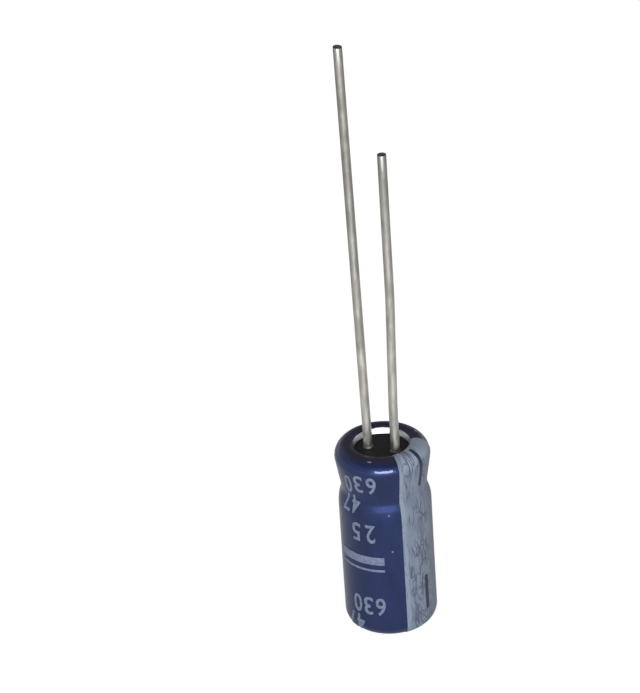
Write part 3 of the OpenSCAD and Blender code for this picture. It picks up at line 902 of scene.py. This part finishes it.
class CAPACITOR_OT_numbers(bpy.types.Operator):
    """Print the numbers, the plain bars and the stray specks"""

    bl_idname = "capacitor.numbers"
    bl_label = "Print Numbers"

    def execute(self, context):
        case = context.scene.capacitor_case
        ink = context.scene.capacitor_print
        outline = Outline(case)
        whole = bmesh.new()
        for digit, angle, height in NUMBERS:
            shape = self.digit(context, digit, ink)
            self.add(whole, shape, outline, case, ink, angle, height)
        for first, last, low, tall in BARS:
            wide = math.radians(last - first) * outline.radius
            shape = self.block(wide, tall * MM, ink.thickness)
            refine(shape, PRINT_STEP, 0, -wide / 2, wide / 2)
            self.add(whole, shape, outline, case, ink, (first + last) / 2, low + tall / 2)
        for angle, height, wide, tall in SPECKS:
            shape = bmesh.new()
            bmesh.ops.create_circle(shape, cap_ends=True, segments=14, radius=0.5)
            resize(shape, (wide * MM, tall * MM, 1))
            thicken(shape, ink.thickness / 2)
            self.add(whole, shape, outline, case, ink, angle, height)
        number_ink = print_ink("Number Ink", context.scene.capacitor_colours.number, 0.32)
        made = piece("number_print", whole, [number_ink])
        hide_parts("rating_print")
        return {"FINISHED"}

    def block(self, wide, tall, thick):
        """A flat bar about the origin, standing on the plane z = 0."""
        shape = bmesh.new()
        bmesh.ops.create_cube(shape, size=1.0)
        resize(shape, (wide, tall, thick))
        shift(shape, (0, 0, thick / 2))
        return shape

    def digit(self, context, text, ink):
        """One digit as flat ink, turned upside down as it stands on the sleeve."""
        curve = bpy.data.curves.new("digit", "FONT")
        curve.body = text
        curve.resolution_u = 6
        curve.offset = ink.boldness
        source = add_object("digit", curve)
        flat = bpy.data.meshes.new_from_object(source.evaluated_get(context.evaluated_depsgraph_get()))
        shape = bmesh.new()
        shape.from_mesh(flat)
        bpy.data.objects.remove(source)
        bpy.data.curves.remove(curve)
        bpy.data.meshes.remove(flat)
        bmesh.ops.remove_doubles(shape, verts=shape.verts, dist=1e-5)
        low = Vector([min(vert.co[i] for vert in shape.verts) for i in range(3)])
        high = Vector([max(vert.co[i] for vert in shape.verts) for i in range(3)])
        shift(shape, -(low + high) / 2)
        size = high - low
        upside_down = (-ink.digit_width / size.x, -ink.digit_height / size.y, 1)
        resize(shape, upside_down)
        refine(shape, PRINT_STEP, 0, -ink.digit_width / 2, ink.digit_width / 2)
        refine(shape, DIGIT_STEP, 1, -ink.digit_height / 2, ink.digit_height / 2)
        thicken(shape, ink.thickness)
        return shape

    def add(self, whole, shape, outline, case, ink, angle, height):
        """Lays one flat shape on the sleeve and adds it to the rest of the print."""
        lay_on(shape, outline, case, ink, angle, outline.from_height(height * MM))
        part = mesh_of(shape, "part")
        whole.from_mesh(part)
        bpy.data.meshes.remove(part)


class CAPACITOR_OT_stage(bpy.types.Operator):
    """Set the floor, the studio light and the camera"""

    bl_idname = "capacitor.stage"
    bl_label = "Set Stage"

    def execute(self, context):
        scene = context.scene
        stage = scene.capacitor_stage
        scene.view_settings.view_transform = "Standard"
        self.floor()
        self.room(scene, stage)
        self.strip(stage)
        self.camera(scene, stage)
        return {"FINISHED"}

    def outward(self, azimuth, elevation):
        """The direction from the part to something at an azimuth and an elevation."""
        turn = math.radians(azimuth - 90.0)
        flat = math.cos(math.radians(elevation))
        return Vector((math.cos(turn) * flat, math.sin(turn) * flat, math.sin(math.radians(elevation))))

    def seen(self, tree, camera, mirrored):
        """One strength for the camera, another for gloss and glass, and zero for all else."""
        path = add_node(tree, "LightPath").outputs
        bounced = reckon(tree, "MAXIMUM", path["Is Glossy Ray"], path["Is Transmission Ray"])
        straight = reckon(tree, "MULTIPLY", path["Is Camera Ray"], camera)
        return reckon(tree, "MAXIMUM", straight, reckon(tree, "MULTIPLY", bounced, mirrored))

    def floor(self):
        """A wide white floor just under the part, which keeps the part's shadow."""
        glow_seen = 0.72
        glow_mirrored = 0.05
        floor_radius = 3.0
        drop = 0.004 * MM
        shape = bmesh.new()
        bmesh.ops.create_circle(shape, cap_ends=True, segments=96, radius=floor_radius)
        shift(shape, (0, 0, -drop))
        floor = add_object("floor", mesh_of(shape, "floor"))
        material = bpy.data.materials.new("White Floor")
        material.use_nodes = True
        tree = material.node_tree
        tree.nodes.remove(tree.nodes["Principled BSDF"])
        matt = add_node(tree, "BsdfDiffuse", {"Color": (0.86, 0.86, 0.86, 1)})
        strength = self.seen(tree, glow_seen, glow_mirrored)
        glow = add_node(tree, "Emission", {"Strength": strength})
        both = add_node(tree, "AddShader", {0: matt.outputs[0], 1: glow.outputs[0]})
        feed(tree, tree.nodes["Material Output"].inputs["Surface"], both.outputs[0])
        floor.data.materials.append(material)

    def room(self, scene, stage):
        """A grey room, white at the horizon and dark overhead, and all white where the camera sees it."""
        world = bpy.data.worlds.new("Studio")
        world.use_nodes = True
        scene.world = world
        tree = world.node_tree
        place = add_node(tree, "TexCoord").outputs["Generated"]
        height = add_node(tree, "SeparateXYZ", {"Vector": place}).outputs["Z"]
        horizon = (0.03, 0.1)
        overhead = (0.5, 0.8)
        walls = fade(tree, height, *horizon, 1.0, stage.room_light)
        ceiling = fade(tree, height, *overhead, 1.0, 0.4)
        room = reckon(tree, "MULTIPLY", walls, ceiling)
        camera = add_node(tree, "LightPath").outputs["Is Camera Ray"]
        pick = add_node(tree, "Mix", {0: camera, 2: room, 3: 1.0})
        background = tree.nodes["Background"]
        feed(tree, background.inputs["Color"], (1, 1, 1, 1))
        feed(tree, background.inputs["Strength"], pick.outputs[0])

    def strip(self, stage):
        """A wide light in front of the part, lower than the camera."""
        lamp = bpy.data.lights.new("front_strip", "AREA")
        lamp.shape = "RECTANGLE"
        lamp.size = stage.strip_width
        lamp.size_y = stage.strip_height
        lamp.energy = stage.strip_light * math.pi * stage.strip_width * stage.strip_height
        light = add_object("front_strip", lamp)
        toward = self.outward(stage.azimuth, stage.strip_elevation)
        middle_of_body = Vector((0, 0, 6.0 * MM))
        light.location = middle_of_body + toward * stage.strip_distance
        light.rotation_euler = toward.to_track_quat("Z", "Y").to_euler()
        light.visible_camera = False

    def camera(self, scene, stage):
        """A camera at the viewing angle, rolled a little, with its lens for a 640 by 693 picture."""
        toward = self.outward(stage.azimuth, stage.elevation)
        right = Vector((0, 0, 1)).cross(toward).normalized()
        up = toward.cross(right)
        roll = Matrix.Rotation(-math.radians(stage.roll), 3, toward)
        right = roll @ right
        up = roll @ up
        aim = self.outward(stage.azimuth + 90.0, 0.0) * stage.aim_side + Vector((0, 0, stage.aim_height))
        lens = bpy.data.cameras.new("camera")
        lens.sensor_fit = "HORIZONTAL"
        lens.sensor_width = 36.0
        lens.lens = stage.focal_length
        lens.clip_start = 0.005
        lens.clip_end = 20.0
        camera = add_object("camera", lens)
        pose = Matrix((right, up, toward)).transposed().to_4x4()
        pose.translation = aim + toward * stage.distance
        camera.matrix_world = pose
        scene.camera = camera


class CAPACITOR_PT_panel(bpy.types.Panel):
    """Lists the capacitor's pieces and sizes"""

    bl_idname = "CAPACITOR_PT_panel"
    bl_label = "Capacitor"
    bl_space_type = "VIEW_3D"
    bl_region_type = "UI"
    bl_category = "Capacitor"

    def draw(self, context):
        for operator in OPERATORS:
            self.layout.operator(operator.bl_idname)
        for name in SETTINGS:
            settings = getattr(context.scene, name)
            box = self.layout.box()
            for key in settings.bl_rna.properties.keys():
                if key not in ("rna_type", "name"):
                    box.prop(settings, key, text=key.replace("_", " ").title())


OPERATORS = (
    CAPACITOR_OT_stage, CAPACITOR_OT_sleeve, CAPACITOR_OT_can, CAPACITOR_OT_seal, CAPACITOR_OT_leads,
    CAPACITOR_OT_welds, CAPACITOR_OT_winding, CAPACITOR_OT_stripe, CAPACITOR_OT_numbers,
)
SETTINGS = {
    "capacitor_case": CapacitorCase,
    "capacitor_leads": CapacitorLeads,
    "capacitor_print": CapacitorPrint,
    "capacitor_colours": CapacitorColours,
    "capacitor_stage": CapacitorStage,
}


def register():
    """Registers the settings, the operators and the panel."""
    for name, group in SETTINGS.items():
        bpy.utils.register_class(group)
        setattr(bpy.types.Scene, name, PointerProperty(type=group))
    for operator in OPERATORS:
        bpy.utils.register_class(operator)
    bpy.utils.register_class(CAPACITOR_PT_panel)


def unregister():
    """Takes the panel, the operators and the settings away again."""
    bpy.utils.unregister_class(CAPACITOR_PT_panel)
    for operator in reversed(OPERATORS):
        bpy.utils.unregister_class(operator)
    for name, group in SETTINGS.items():
        delattr(bpy.types.Scene, name)
        bpy.utils.unregister_class(group)


def main():
    """Builds the whole capacitor."""
    register()
    bpy.ops.capacitor.stage()
    bpy.ops.capacitor.sleeve()
    bpy.ops.capacitor.can()
    bpy.ops.capacitor.seal()
    bpy.ops.capacitor.leads()
    bpy.ops.capacitor.welds()
    bpy.ops.capacitor.winding()
    bpy.ops.capacitor.stripe()
    bpy.ops.capacitor.numbers()


if __name__ == "__main__":
    main()
